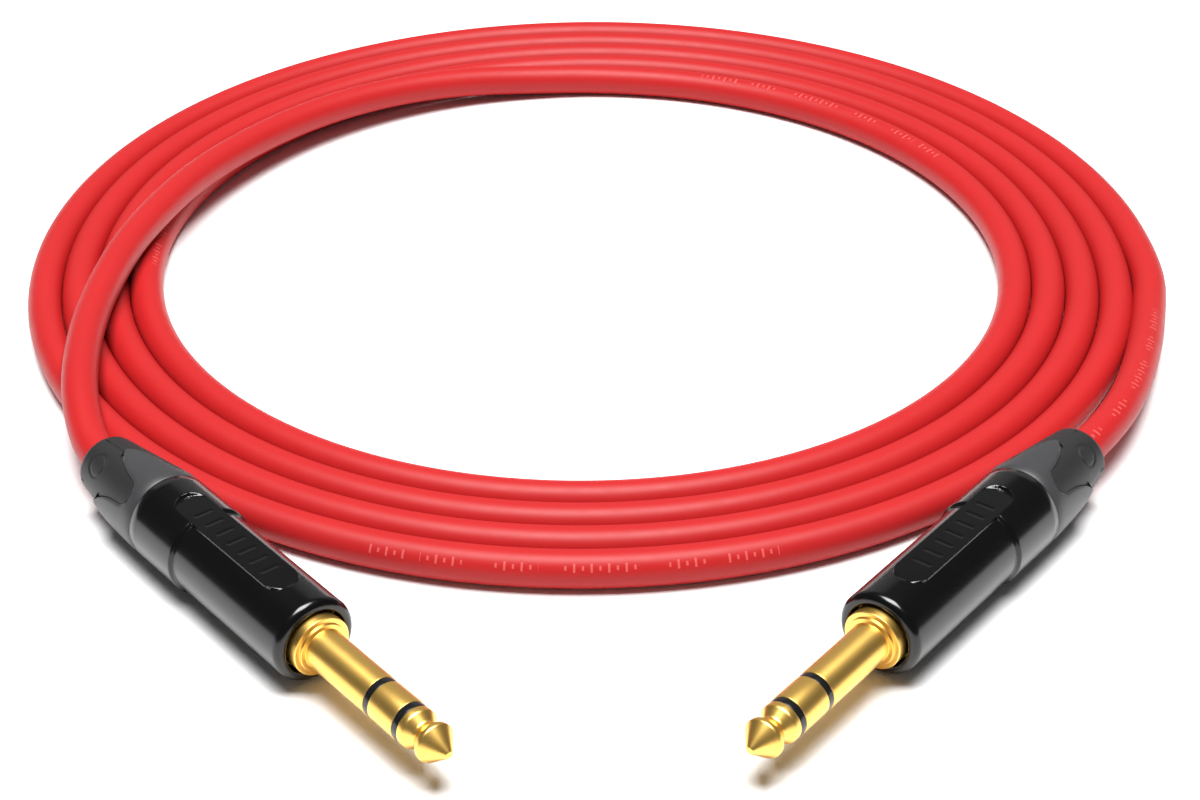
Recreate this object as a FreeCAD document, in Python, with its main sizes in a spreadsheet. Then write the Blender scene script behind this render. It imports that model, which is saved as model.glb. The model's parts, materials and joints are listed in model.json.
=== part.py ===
import FreeCAD, Part
import math
import os

# Instrument cable: one jacketed cable wound in a flat coil, with the same three-contact
# 6.35 mm plug on both ends.  Every plug piece is drawn in the plug's own frame, with X along
# its axis from the nose to the cable, and then placed.  Millimetres; +Z up; the plugs'
# housings lie on Z = 0, and the origin is midway between the plugs.

Vector = FreeCAD.Vector

SIZES = [
    # where the two plugs lie
    ("left_nose_x", -19.23), ("left_nose_y", -37.31), ("left_heading", 130.25), ("left_clock", 45.5),
    ("right_nose_x", 21.05), ("right_nose_y", -36.45), ("right_heading", 51.3), ("right_clock", -42.0),
    # finger of the plug, stations measured from the nose
    ("finger_radius", 3.175), ("nose_flat", 0.55), ("crown_station", 3.1), ("crown_radius", 3.175),
    ("shoulder_station", 3.8), ("neck_station", 5.4), ("neck_radius", 1.95), ("lobe_station", 7.0),
    ("tip_end", 8.0), ("nose_rounding", 0.35), ("insulator_width", 1.2), ("insulator_radius", 3.175),
    ("ring_end", 14.7), ("sleeve_end", 29.7),
    # nested tubes inside the finger
    ("rod_radius", 0.8), ("tube_wall", 0.33), ("seat_gap", 0.02),
    # collar of the sleeve contact
    ("collar_step", 0.5), ("collar_step_radius", 3.9), ("collar_radius", 4.7), ("collar_groove", 0.4),
    ("collar_groove_at", 1.3), ("collar_groove_depth", 0.3), ("flange_radius", 5.6), ("flange_width", 3.0),
    # housing
    ("housing_radius", 7.25), ("housing_front", 31.6), ("housing_length", 40.2), ("housing_mouth", 5.1),
    ("barrel_step", 0.5), ("barrel_setback", 11.8), ("front_wall", 3.4), ("front_rounding", 1.3),
    ("housing_bore", 5.9), ("thread_radius", 6.3),
    ("thread_depth", 7.8), ("badge_start", 37.5), ("badge_end", 66.3), ("badge_half", 2.8),
    ("badge_depth", 0.55), ("badge_rise", 0.6), ("keyway_width", 1.8), ("keyway_length", 7.0),
    # insulating carrier and terminals
    ("terminal_thickness", 0.6), ("carrier_length", 5.4), ("bore_play", 0.02), ("slot_floor", 4.45),
    ("slot_width", 3.0), ("terminal_width", 2.4), ("ground_width", 2.8), ("ground_height", 4.5),
    ("ground_reach", 52.0), ("ring_washer", 3.6), ("ring_reach", 52.0), ("tip_washer_at", 47.5),
    ("tip_washer", 2.2), ("tip_reach", 54.0), ("peened_length", 0.7), ("solder_radius", 1.1),
    # wires
    ("conductor_radius", 0.5), ("pigtail_radius", 0.6), ("wire_bend", 2.2), ("wire_spread", 1.35),
    ("strip_setback", 13.8), ("core_radius", 2.1), ("pair_pitch", 1.1),
    # liner, chuck and boot
    ("liner_inner", 5.5), ("liner_outer", 5.88), ("liner_setback", 15.3), ("chuck_setback", 12.3),
    ("chuck_radius", 5.7), ("chuck_length", 10.0), ("chuck_cone", 4.5), ("chuck_nose_radius", 4.4),
    ("jacket_play", 0.12), ("chuck_slot", 0.9), ("chuck_slot_length", 6.5), ("chuck_key_width", 1.4),
    ("chuck_key_length", 3.6), ("chuck_key_rise", 0.4),
    ("boot_gap", 0.1), ("boot_thread_play", 0.08), ("boot_sleeve_length", 6.0), ("cone_play", 0.25),
    ("boot_core_bore", 3.6), ("boot_core_radius", 5.3), ("boot_length", 19.4), ("boot_front_radius", 7.2),
    ("petal_reach", 11.6), ("petal_radius", 6.85), ("shoulder_radius", 6.05), ("tongue_start", 2.4),
    ("tongue_nose_radius", 2.2), ("tongue_flank", 6.0),
    ("tongue_flank_half", 3.1), ("tongue_root_half", 4.85), ("boot_end_radius", 5.15), ("boot_mouth", 4.2),
    ("boot_throat", 3.5), ("boot_flare", 2.6), ("boot_rounding", 0.9),
    # cable and its flat coil
    ("cable_diameter", 6.1), ("turn_gap", 0.05), ("coil_x", -1.24), ("coil_y", 110.02),
    ("coil_inner_radius", 80.15), ("coil_start_angle", -88.0), ("coil_end_angle", 1444.0),
    ("coil_wall_inset", 1.0), ("left_lead", 3.6), ("right_lead", 10.0), ("lead_in", 8.0),
]

# Hand-chosen points of the two ends of the cable, between the boots and the coil.
LEFT_TAIL = [(-82.7, 38.6, 7.4), (-84.3, 42.7, 8.3), (-86.0, 50.3, 9.2), (-87.5, 58.8, 9.3),
             (-88.7, 69.0, 9.4), (-89.1, 79.0, 9.4), (-88.8, 89.3, 9.4), (-87.7, 99.6, 9.3),
             (-85.5, 109.8, 9.3), (-81.2, 124.1, 9.3), (-76.2, 137.2, 8.9), (-69.5, 149.4, 8.0),
             (-61.4, 160.5, 7.2), (-51.7, 170.1, 6.5), (-40.5, 177.9, 5.8), (-28.1, 183.7, 4.8),
             (-16.1, 186.9, 3.6)]
RIGHT_TAIL = [(92.0, 54.8, 6.3), (97.8, 70.8, 4.4), (101.5, 86.8, 3.2)]


def make_sheet(doc):
    sheet = doc.addObject("Spreadsheet::Sheet", "sizes")
    for row, (alias, value) in enumerate(SIZES, start=1):
        sheet.set("A%d" % row, alias)
        sheet.set("B%d" % row, str(value))
        sheet.setAlias("B%d" % row, alias)
    doc.recompute()
    return sheet


def with_sheet(expression):
    """The expression with every size name pointing at the sheet."""
    words = []
    for word in expression.split():
        name = word.strip("()")
        words.append(word.replace(name, "sizes." + name) if name[:1].isalpha() else word)
    return " ".join(words)


class Plug:
    """One plug: makes pieces in the plug's frame and places them in the object's frame."""

    def __init__(self, doc, sheet, side):
        self.doc = doc
        self.sheet = sheet
        self.side = side

    def number(self, expression):
        return float(self.sheet.evalExpression(with_sheet(expression)))

    def placement_text(self, clocked):
        turn = " * rotationx(-sizes.%s_clock)" % self.side if clocked else ""
        return ("placement(vector(sizes.{0}_nose_x; sizes.{0}_nose_y; sizes.housing_radius); "
                "rotationz(sizes.{0}_heading){1})").format(self.side, turn)

    def place(self, item, name, clocked=False):
        item.setExpression("Placement", self.placement_text(clocked))
        item.Label = "%s_%s" % (self.side, name)
        return item

    def body(self, name, clocked=False):
        body = self.doc.addObject("PartDesign::Body", "%s_%s" % (self.side, name))
        return self.place(body, name, clocked)

    def sketch(self, body, plane, name, lift=None):
        sketch = body.newObject("Sketcher::SketchObject", "%s_%s" % (self.side, name))
        sketch.AttachmentSupport = [(origin_part(body, plane), "")]
        sketch.MapMode = "FlatFace"
        if lift:
            sketch.setExpression("AttachmentOffset.Base.z", with_sheet(lift))
        return sketch

    def outline(self, sketch, corners):
        """Closed polygon whose corners are pinned to (x, y) expressions."""
        points = [Vector(self.number(x), self.number(y), 0) for x, y in corners]
        count = len(points)
        for i in range(count):
            sketch.addGeometry(Part.LineSegment(points[i], points[(i + 1) % count]))
        for i in range(count):
            sketch.addConstraint(constraint("Coincident", i, 2, (i + 1) % count, 1))
        for i, corner in enumerate(corners):
            self.pin(sketch, i, 1, points[i], corner)

    def pin(self, sketch, line, end, point, corner):
        rules = (("DistanceX", -2, point.x, corner[0]), ("DistanceY", -1, point.y, corner[1]))
        for kind, axis, size, text in rules:
            if size == 0:
                sketch.addConstraint(constraint("PointOnObject", line, end, axis))
            else:
                index = sketch.addConstraint(constraint(kind, -1, 1, line, end, size))
                sketch.setExpression("Constraints[%d]" % index, with_sheet(text))

    def turned(self, name, corners, clocked=False):
        """Body of revolution about the plug's axis, from (station, radius) corners."""
        body = self.body(name, clocked)
        sketch = self.sketch(body, "XY_Plane", name + "_profile")
        self.outline(sketch, corners)
        turn = body.newObject("PartDesign::Revolution", "%s_%s_turn" % (self.side, name))
        turn.Profile = sketch
        turn.ReferenceAxis = (sketch, ["H_Axis"])
        turn.Angle = 360.0
        sketch.Visibility = False
        return body

    def round_rims(self, body, rims, radius):
        """Fillet the full-circle edges at the given (station, radius) pairs of expressions."""
        self.doc.recompute()
        base = body.Tip
        wanted = [(self.number(x), self.number(y)) for x, y in rims]
        names = [name for name, edge in named_edges(base.Shape) if is_rim(edge, wanted)]
        if len(names) != len(wanted):
            raise RuntimeError("%s: %d of %d rims found" % (body.Label, len(names), len(wanted)))
        fillet = body.newObject("PartDesign::Fillet", body.Name + "_rounding")
        fillet.Base = (base, names)
        fillet.setExpression("Radius", with_sheet(radius))

    def cut_through(self, body, name, sketch, depth, upwards=True):
        pocket = body.newObject("PartDesign::Pocket", "%s_%s" % (self.side, name))
        pocket.Profile = sketch
        pocket.Reversed = upwards
        pocket.setExpression("Length", with_sheet(depth))
        sketch.Visibility = False
        return pocket

    def repeat(self, body, feature, count):
        pattern = body.newObject("PartDesign::PolarPattern", feature.Name + "_pattern")
        pattern.Originals = [feature]
        pattern.Axis = (origin_part(body, "X_Axis"), [""])
        pattern.Angle = 360.0
        pattern.Occurrences = count
        body.Tip = pattern

    def pad(self, body, name, sketch, thickness):
        pad = body.newObject("PartDesign::Pad", "%s_%s" % (self.side, name))
        pad.Profile = sketch
        pad.setExpression("Length", with_sheet(thickness))
        sketch.Visibility = False
        return pad

    def solid(self, name, shape):
        """Plain shape of the plug's frame, for the pieces that have no sketch."""
        item = self.doc.addObject("Part::Feature", "%s_%s" % (self.side, name))
        item.Shape = shape
        return self.place(item, name)


def constraint(*terms):
    import Sketcher
    return Sketcher.Constraint(*terms)


def origin_part(body, role):
    return [part for part in body.Origin.OriginFeatures if part.Role == role][0]


def named_edges(shape):
    return [("Edge%d" % number, edge) for number, edge in enumerate(shape.Edges, start=1)]


def is_rim(edge, wanted):
    if not isinstance(edge.Curve, Part.Circle) or len(edge.Vertexes) != 1:
        return False
    centre = edge.Curve.Center
    return any(abs(centre.x - x) < 1e-4 and abs(edge.Curve.Radius - y) < 1e-4 for x, y in wanted)


# ---- the finger: tip, ring and sleeve contacts with the insulators between them ----

def tip_contact(plug):
    body = plug.turned("tip_contact", [
        ("0", "0"), ("0", "nose_flat"), ("crown_station", "crown_radius"), ("shoulder_station", "crown_radius"),
        ("neck_station", "neck_radius"), ("lobe_station", "crown_radius"), ("tip_end", "crown_radius"),
        ("tip_end", "rod_radius"), ("tip_washer_at + terminal_thickness + peened_length", "rod_radius"),
        ("tip_washer_at + terminal_thickness + peened_length", "0")])
    plug.round_rims(body, [("0", "nose_flat"), ("crown_station", "crown_radius"),
                           ("shoulder_station", "crown_radius"), ("neck_station", "neck_radius"),
                           ("lobe_station", "crown_radius")], "nose_rounding")


def tube_radius(layer):
    """Outer radius of the nested tube number layer, counted from the rod outwards."""
    return "rod_radius + %d * ( seat_gap + tube_wall )" % layer


def bore_radius(layer):
    return "rod_radius + %d * ( seat_gap + tube_wall ) + seat_gap" % (layer - 1)


def flanged_tube(plug, name, layer, start, width, radius, end):
    """Insulator or contact: a wide band that shows on the finger, and a tube behind it."""
    band_end = "%s + %s" % (start, width)
    plug.turned(name, [
        (start, bore_radius(layer)), (start, radius), (band_end, radius), (band_end, tube_radius(layer)),
        (end, tube_radius(layer)), (end, bore_radius(layer))])


def finger_tubes(plug):
    ring_start = "tip_end + insulator_width"
    sleeve_start = "ring_end + insulator_width"
    flanged_tube(plug, "tip_insulator", 1, "tip_end", "insulator_width", "insulator_radius", "tip_washer_at")
    flanged_tube(plug, "ring_contact", 2, ring_start, "ring_end - ( %s )" % ring_start, "finger_radius",
                 CARRIER_END + " + terminal_thickness + peened_length")
    flanged_tube(plug, "ring_insulator", 3, "ring_end", "insulator_width", "insulator_radius", CARRIER_END)
    plug.turned("sleeve_contact", [
        (sleeve_start, bore_radius(4)), (sleeve_start, "finger_radius"), ("sleeve_end", "finger_radius"),
        ("sleeve_end", "collar_step_radius"), (COLLAR, "collar_step_radius"), (COLLAR, "collar_radius"),
        (COLLAR + " + collar_groove_at", "collar_radius"),
        (COLLAR + " + collar_groove_at", "collar_radius - collar_groove_depth"),
        (COLLAR + " + collar_groove_at + collar_groove", "collar_radius - collar_groove_depth"),
        (COLLAR + " + collar_groove_at + collar_groove", "collar_radius"),
        (FLANGE, "collar_radius"), (FLANGE, "flange_radius"), (FLANGE + " + flange_width", "flange_radius"),
        (FLANGE + " + flange_width", bore_radius(4))])


COLLAR = "sleeve_end + collar_step"
FLANGE = "housing_front + front_wall"
GROUND = FLANGE + " + flange_width"
CARRIER_START = GROUND + " + terminal_thickness"
CARRIER_END = CARRIER_START + " + carrier_length"
HOUSING_END = "housing_front + housing_length"
BARREL = "housing_radius - barrel_step"
BARREL_END = HOUSING_END + " - barrel_setback"
THREAD_END = HOUSING_END + " - thread_depth"
BOOT_END = HOUSING_END + " + boot_length"
STRIPPED = HOUSING_END + " - strip_setback"
CHUCK_FRONT = HOUSING_END + " - chuck_setback"
CHUCK_END = CHUCK_FRONT + " + chuck_length"
CHUCK_SHOULDER = CHUCK_END + " - chuck_cone"


# ---- the housing and what it holds ----

def housing(plug):
    body = plug.turned("housing", [
        ("housing_front", "housing_mouth"), ("housing_front", BARREL), (BARREL_END, BARREL),
        (BARREL_END, "housing_radius"), (HOUSING_END, "housing_radius"), (HOUSING_END, "thread_radius"),
        (THREAD_END, "thread_radius"), (THREAD_END, "housing_bore"),
        (FLANGE, "housing_bore"), (FLANGE, "housing_mouth")])
    plug.round_rims(body, [("housing_front", BARREL)], "front_rounding")
    land = plug.sketch(body, "XY_Plane", "badge_land_outline", "housing_radius - badge_depth - badge_rise")
    slot(plug, land, "badge_start", THREAD_END + " - 1", "badge_half")
    plug.pad(body, "badge_land", land, "badge_rise")
    badge = plug.sketch(body, "XY_Plane", "badge_outline", "housing_radius - badge_depth")
    slot(plug, badge, "badge_start", "badge_end", "badge_half")
    plug.cut_through(body, "badge_recess", badge, "badge_depth + 1")
    keyway = plug.sketch(body, "XY_Plane", "keyway_outline", "housing_bore - 0.5")
    rectangle(plug, keyway, THREAD_END + " - keyway_length", THREAD_END + " + 0.5", "keyway_width / 2")
    plug.cut_through(body, "keyway", keyway, "thread_radius - housing_bore + 0.5")


def slot(plug, sketch, start, end, half):
    """Rounded slot along X, pinned by its two arc centres and its radius."""
    left = plug.number(start + " + " + half)
    right = plug.number(end + " - " + half)
    radius = plug.number(half)
    up = Vector(0, radius, 0)
    axis = Vector(0, 0, 1)
    ends = [Vector(left, 0, 0), Vector(right, 0, 0)]
    sketch.addGeometry(Part.LineSegment(ends[0] - up, ends[1] - up))
    sketch.addGeometry(Part.ArcOfCircle(Part.Circle(ends[1], axis, radius), -math.pi / 2, math.pi / 2))
    sketch.addGeometry(Part.LineSegment(ends[1] + up, ends[0] + up))
    sketch.addGeometry(Part.ArcOfCircle(Part.Circle(ends[0], axis, radius), math.pi / 2, 3 * math.pi / 2))
    for first, first_end, second, second_end in ((0, 2, 1, 1), (1, 2, 2, 1), (2, 2, 3, 1), (3, 2, 0, 1)):
        sketch.addConstraint(constraint("Tangent", first, first_end, second, second_end))
    sketch.addConstraint(constraint("PointOnObject", 1, 3, -1))
    sketch.addConstraint(constraint("PointOnObject", 3, 3, -1))
    for kind, terms, value, text in (("DistanceX", (-1, 1, 3, 3), left, start + " + " + half),
                                     ("DistanceX", (-1, 1, 1, 3), right, end + " - " + half),
                                     ("Radius", (1,), radius, half)):
        index = sketch.addConstraint(constraint(kind, *terms, value))
        sketch.setExpression("Constraints[%d]" % index, with_sheet(text))


def rectangle(plug, sketch, start, end, half):
    low = "- ( %s )" % half
    plug.outline(sketch, [(start, low), (end, low), (end, half), (start, half)])


def carrier(plug):
    body = plug.turned("contact_carrier", [
        (CARRIER_START, bore_radius(4)), (CARRIER_START, "housing_bore - bore_play"),
        (CARRIER_END, "housing_bore - bore_play"), (CARRIER_END, bore_radius(4))])
    groove = plug.sketch(body, "XY_Plane", "ground_slot_outline", "slot_floor")
    rectangle(plug, groove, CARRIER_START + " - 1", CARRIER_END + " + 1", "slot_width / 2")
    plug.cut_through(body, "ground_slot", groove, "housing_bore - slot_floor + 1")


def washer_with_tag(plug, name, start, bore, washer, tag_plane, tag_level, half, reach):
    """Terminal: a washer round a contact tube with a flat solder tag standing back from it."""
    body = plug.turned(name, [(start, bore), (start, washer), (start + " + terminal_thickness", washer),
                              (start + " + terminal_thickness", bore)])
    tag = plug.sketch(body, tag_plane, name + "_tag_outline", tag_level)
    rectangle(plug, tag, start, reach, half)
    plug.pad(body, name + "_tag", tag, "terminal_thickness")


def terminals(plug):
    washer_with_tag(plug, "ground_terminal", GROUND, bore_radius(4), "flange_radius", "XY_Plane",
                    "ground_height", "ground_width / 2", "ground_reach")
    washer_with_tag(plug, "ring_terminal", CARRIER_END, bore_radius(3), "ring_washer", "XZ_Plane",
                    "ring_washer - 2 * terminal_thickness", "terminal_width / 2", "ring_reach")
    washer_with_tag(plug, "tip_terminal", "tip_washer_at", bore_radius(1), "tip_washer", "XZ_Plane",
                    "- ( tip_washer )", "terminal_width / 2", "tip_reach")


def solder_dome(centre, normal, radius, back):
    """Half a ball standing on a tag, cut square where the wire enters it."""
    ball = Part.makeSphere(radius, centre)
    size = 4 * radius
    seat = Part.makeBox(size, size, size, Vector(-size / 2, -size / 2, 0))
    seat.Placement = FreeCAD.Placement(centre, FreeCAD.Rotation(Vector(0, 0, 1), normal))
    front = Part.makeBox(size, size, size, Vector(back - size, centre.y - size / 2, centre.z - size / 2))
    return ball.common(seat).common(front)


def wiring(plug):
    """Solder, conductors and shield pigtail between the stripped jacket and the tags."""
    n = plug.number
    ball, wire, pigtail = n("solder_radius"), n("conductor_radius"), n("pigtail_radius")
    # XZ_Plane sketches rise along -Y, so a tag's level counts towards -Y
    ring_y = -n("ring_washer - 2 * terminal_thickness")
    tip_y = n("tip_washer")
    ground_z = n("ground_height")
    bead = 0.5 * ball
    half_pair = n("pair_pitch") / 2
    domes, ring_wires, tip_wires = [], [], []
    stripped, spread, bend = n(STRIPPED), n("wire_spread"), n("wire_bend")
    ring_back, tip_back, ground_back = n("ring_reach") - 0.5, n("tip_reach") - 0.5, n("ground_reach") - 0.5
    for turn in (-1, 1):
        ring_at = Vector(ring_back - bead, ring_y, turn * half_pair)
        tip_at = Vector(tip_back - bead, tip_y, turn * half_pair)
        domes.append((ring_at, Vector(0, 1, 0), ring_back))
        domes.append((tip_at, Vector(0, 1, 0), tip_back))
        ring_wires.append(bent_wire(Vector(stripped, -spread, turn * spread / 2),
                                    Vector(ring_back, ring_y + wire, turn * half_pair), bend, wire))
        tip_wires.append(bent_wire(Vector(stripped, spread, turn * spread / 2),
                                   Vector(tip_back, tip_y + wire, turn * half_pair), bend, wire))
    ground_at = Vector(ground_back - bead, 0, ground_z)
    domes.append((ground_at, Vector(0, 0, -1), ground_back))
    solder = merged([solder_dome(centre, normal, ball, back) for centre, normal, back in domes])
    plug.solid("solder_joints", solder)
    plug.solid("ring_conductors", Part.Compound(ring_wires))
    plug.solid("tip_conductors", Part.Compound(tip_wires))
    shield_start = Vector(stripped, 0, n("core_radius") - pigtail)
    shield_end = Vector(ground_back, 0, ground_z - pigtail)
    plug.solid("shield_pigtail", bent_wire(shield_start, shield_end, bend, pigtail))


def merged(shapes):
    """Solder of the same tag runs together; the tags stay apart."""
    whole = shapes[0]
    for shape in shapes[1:]:
        whole = whole.fuse(shape)
    return whole


def bent_wire(start, end, straight, radius):
    """Wire that leaves both ends square and slants between them."""
    along = Vector(1, 0, 0)
    return tube([start, start - along * straight, end + along * straight, end], radius)


def liner(plug):
    liner_end = HOUSING_END + " - liner_setback"
    plug.turned("liner", [(CARRIER_END, "liner_inner"), (CARRIER_END, "liner_outer"),
                          (liner_end, "liner_outer"), (liner_end, "liner_inner")])


def jacket_end(plug):
    """The cable's own end inside the plug, from where it is stripped to the boot's mouth."""
    plug.turned("cable_end", [(STRIPPED, "0"), (STRIPPED, "cable_diameter / 2"),
                              (BOOT_END, "cable_diameter / 2"), (BOOT_END, "0")])


def chuck(plug):
    body = plug.turned("chuck", [
        (CHUCK_FRONT, "cable_diameter / 2 + jacket_play"), (CHUCK_FRONT, "chuck_radius"),
        (CHUCK_SHOULDER, "chuck_radius"), (CHUCK_END, "chuck_nose_radius"),
        (CHUCK_END, "cable_diameter / 2 + jacket_play")])
    key = plug.sketch(body, "XY_Plane", "chuck_key_outline", "chuck_radius - 0.4")
    key_start = CHUCK_FRONT + " + 0.2"
    rectangle(plug, key, key_start, key_start + " + chuck_key_length", "chuck_key_width / 2")
    plug.pad(body, "chuck_key", key, "chuck_key_rise + 0.4")
    split = plug.sketch(body, "XY_Plane", "chuck_slot_outline", "0")
    rectangle(plug, split, CHUCK_END + " - chuck_slot_length", CHUCK_END + " + 1", "chuck_slot / 2")
    cut = plug.cut_through(body, "chuck_slot_cut", split, "chuck_radius + 1")
    plug.repeat(body, cut, 4)


def cone_bore(station):
    """Bore that clears the chuck's cone at a station."""
    slope = "( chuck_radius - chuck_nose_radius ) / chuck_cone"
    return "chuck_radius + cone_play - ( %s - ( %s ) ) * %s" % (station, CHUCK_SHOULDER, slope)


def boot_shell(plug):
    """Threaded bushing: the front ring with four petals, and the core under the grip."""
    sleeve_start = HOUSING_END + " - boot_sleeve_length"
    seat = CHUCK_END + " + 0.6"
    petal_end = HOUSING_END + " + petal_reach"
    body = plug.turned("boot_shell", [
        (sleeve_start, cone_bore(sleeve_start)), (sleeve_start, "thread_radius - boot_thread_play"),
        (HOUSING_END + " + boot_gap", "thread_radius - boot_thread_play"),
        (HOUSING_END + " + boot_gap", "boot_front_radius"),
        (HOUSING_END + " + tongue_start", "boot_front_radius"),
        (petal_end, "petal_radius"), (petal_end, "boot_core_bore"),
        (seat, "boot_core_bore"), (seat, cone_bore(seat))], clocked=True)
    tongue = plug.sketch(body, "XY_Plane", "tongue_outline", "boot_core_radius")
    tongue_profile(plug, tongue)
    cut = plug.cut_through(body, "tongue_cut", tongue, "boot_front_radius")
    plug.repeat(body, cut, 4)
    return body


def tongue_profile(plug, sketch):
    """Half-round nose, then flanks that widen until the petals between them end in points."""
    nose = HOUSING_END + " + tongue_start"
    flank = HOUSING_END + " + tongue_start + tongue_flank"
    root = HOUSING_END + " + petal_reach"
    behind = HOUSING_END + " + petal_reach + 1"
    centre_x, radius = plug.number(nose + " + tongue_nose_radius"), plug.number("tongue_nose_radius")
    stops = [(flank, "tongue_flank_half"), (root, "tongue_root_half"), (behind, "tongue_root_half")]
    right = [Vector(plug.number(x), plug.number(y), 0) for x, y in stops]
    left = [Vector(point.x, -point.y, 0) for point in right]
    top, bottom = Vector(centre_x, radius, 0), Vector(centre_x, -radius, 0)
    corners = [top] + right + left[::-1] + [bottom]
    for first, second in zip(corners, corners[1:]):
        sketch.addGeometry(Part.LineSegment(first, second))
    circle = Part.Circle(Vector(centre_x, 0, 0), Vector(0, 0, 1), radius)
    sketch.addGeometry(Part.ArcOfCircle(circle, math.pi / 2, 3 * math.pi / 2))
    last = len(corners) - 1
    for line in range(last - 1):
        sketch.addConstraint(constraint("Coincident", line, 2, line + 1, 1))
    sketch.addConstraint(constraint("Coincident", last, 1, 0, 1))
    sketch.addConstraint(constraint("Coincident", last - 1, 2, last, 2))
    names = [(nose + " + tongue_nose_radius", "tongue_nose_radius")] + stops
    names += [(x, "- " + y) for x, y in stops[::-1]]
    for line, (corner, name) in enumerate(zip(corners, names)):
        plug.pin(sketch, line, 1, corner, name)
    plug.pin(sketch, last - 1, 2, bottom, (nose + " + tongue_nose_radius", "- tongue_nose_radius"))
    index = sketch.addConstraint(constraint("DistanceX", -1, 1, last, 3, centre_x))
    sketch.setExpression("Constraints[%d]" % index, with_sheet(nose + " + tongue_nose_radius"))


def boot_grip(plug, shell):
    """Soft over-moulding: fills round the petals and tapers to the cable."""
    start = HOUSING_END + " + tongue_start"
    petal_end = HOUSING_END + " + petal_reach"
    blank = plug.turned("boot_grip_blank", [
        (start, "boot_core_radius"), (start, "boot_front_radius"),
        (petal_end, "shoulder_radius"), (BOOT_END, "boot_end_radius"), (BOOT_END, "boot_mouth"),
        (BOOT_END + " - boot_flare", "boot_throat"), (petal_end, "boot_throat"), (petal_end, "boot_core_radius")],
        clocked=True)
    plug.round_rims(blank, [(BOOT_END, "boot_end_radius")], "boot_rounding")
    grip = plug.doc.addObject("Part::Cut", plug.side + "_boot_grip")
    grip.Base = blank
    grip.Tool = shell
    grip.Label = plug.side + "_boot_grip"


# ---- the cable outside the plugs ----

def tube(points, radius):
    """Round tube along straight runs joined by tangent arcs, each as large as its runs allow."""
    edges = []
    start = points[0]
    for before, corner, after in zip(points, points[1:], points[2:]):
        into = (corner - before).normalize()
        out = (after - corner).normalize()
        half_turn = into.getAngle(out) / 2
        tangent = 0.45 * min((corner - before).Length, (after - corner).Length)
        enter = corner - into * tangent
        leave = corner + out * tangent
        inwards = (out - into).normalize()
        middle = corner + inwards * tangent * (1 - math.cos(half_turn)) / math.sin(half_turn)
        edges.append(Part.LineSegment(start, enter).toShape())
        edges.append(Part.Arc(enter, middle, leave).toShape())
        start = leave
    edges.append(Part.LineSegment(start, points[-1]).toShape())
    path = Part.Wire(edges)
    ring = Part.Wire(Part.makeCircle(radius, points[0], points[1] - points[0]))
    return path.makePipeShell([ring], True, True)


def bend_radii(points):
    radii = []
    for before, corner, after in zip(points, points[1:], points[2:]):
        half_turn = (corner - before).getAngle(after - corner) / 2
        radii.append(0.45 * min((corner - before).Length, (after - corner).Length) / math.tan(half_turn))
    return radii


def main():
    doc = FreeCAD.newDocument("instrument_cable")
    sheet = make_sheet(doc)
    for side in ("left", "right"):
        plug = Plug(doc, sheet, side)
        tip_contact(plug)
        finger_tubes(plug)
        housing(plug)
        carrier(plug)
        terminals(plug)
        wiring(plug)
        liner(plug)
        jacket_end(plug)
        chuck(plug)
        boot_grip(plug, boot_shell(plug))
    cable(doc, sheet)
    doc.recompute()
    write_parts(doc)


def cable(doc, sheet):
    size = {alias: float(sheet.get(alias)) for alias, value in SIZES}
    radius = size["cable_diameter"] / 2
    centre = Vector(size["coil_x"], size["coil_y"], 0)
    pitch = size["cable_diameter"] + size["turn_gap"]

    def on_coil(angle, offset=0.0):
        reach = size["coil_inner_radius"] + pitch * angle / 360 + offset
        turn = math.radians(angle)
        return centre + Vector(reach * math.cos(turn), -reach * math.sin(turn), radius)

    def coil_heading(angle):
        return Vector(-math.sin(math.radians(angle)), -math.cos(math.radians(angle)), 0)

    begin, finish = size["coil_start_angle"], size["coil_end_angle"]
    half = radius - size["coil_wall_inset"]
    band = spiral_band(on_coil, begin, finish, half, radius)
    add_node(doc, "cable_coil", band.extrude(Vector(0, 0, size["cable_diameter"])))
    for side, points, angle, way in (("left", LEFT_TAIL, begin, -1), ("right", RIGHT_TAIL, finish, 1)):
        exit_point, outward = boot_mouth(size, side)
        route = [exit_point, exit_point + outward * size[side + "_lead"]] + [Vector(*point) for point in points]
        join = on_coil(angle)
        route += [join + coil_heading(angle) * way * size["lead_in"], join]
        shape = tube(route, radius)
        add_node(doc, side + "_tail", shape)
        length = shape.Volume / (math.pi * radius ** 2)
        turns = sum((b - a).Length for a, b in zip(route, route[1:]))
        print("%s tail: %.1f mm long, runs %.1f mm, bend radii %s" %
              (side, length, turns, " ".join("%.0f" % bend for bend in bend_radii(route))))
    steps = 2000
    spiral = [on_coil(begin + (finish - begin) * i / steps) for i in range(steps + 1)]
    print("coil: %.1f mm of cable" % sum((b - a).Length for a, b in zip(spiral, spiral[1:])))


def boot_mouth(size, side):
    heading = math.radians(size[side + "_heading"])
    outward = Vector(math.cos(heading), math.sin(heading), 0)
    nose = Vector(size[side + "_nose_x"], size[side + "_nose_y"], size["housing_radius"])
    length = size["housing_front"] + size["housing_length"] + size["boot_length"]
    return nose + outward * length, outward


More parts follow.
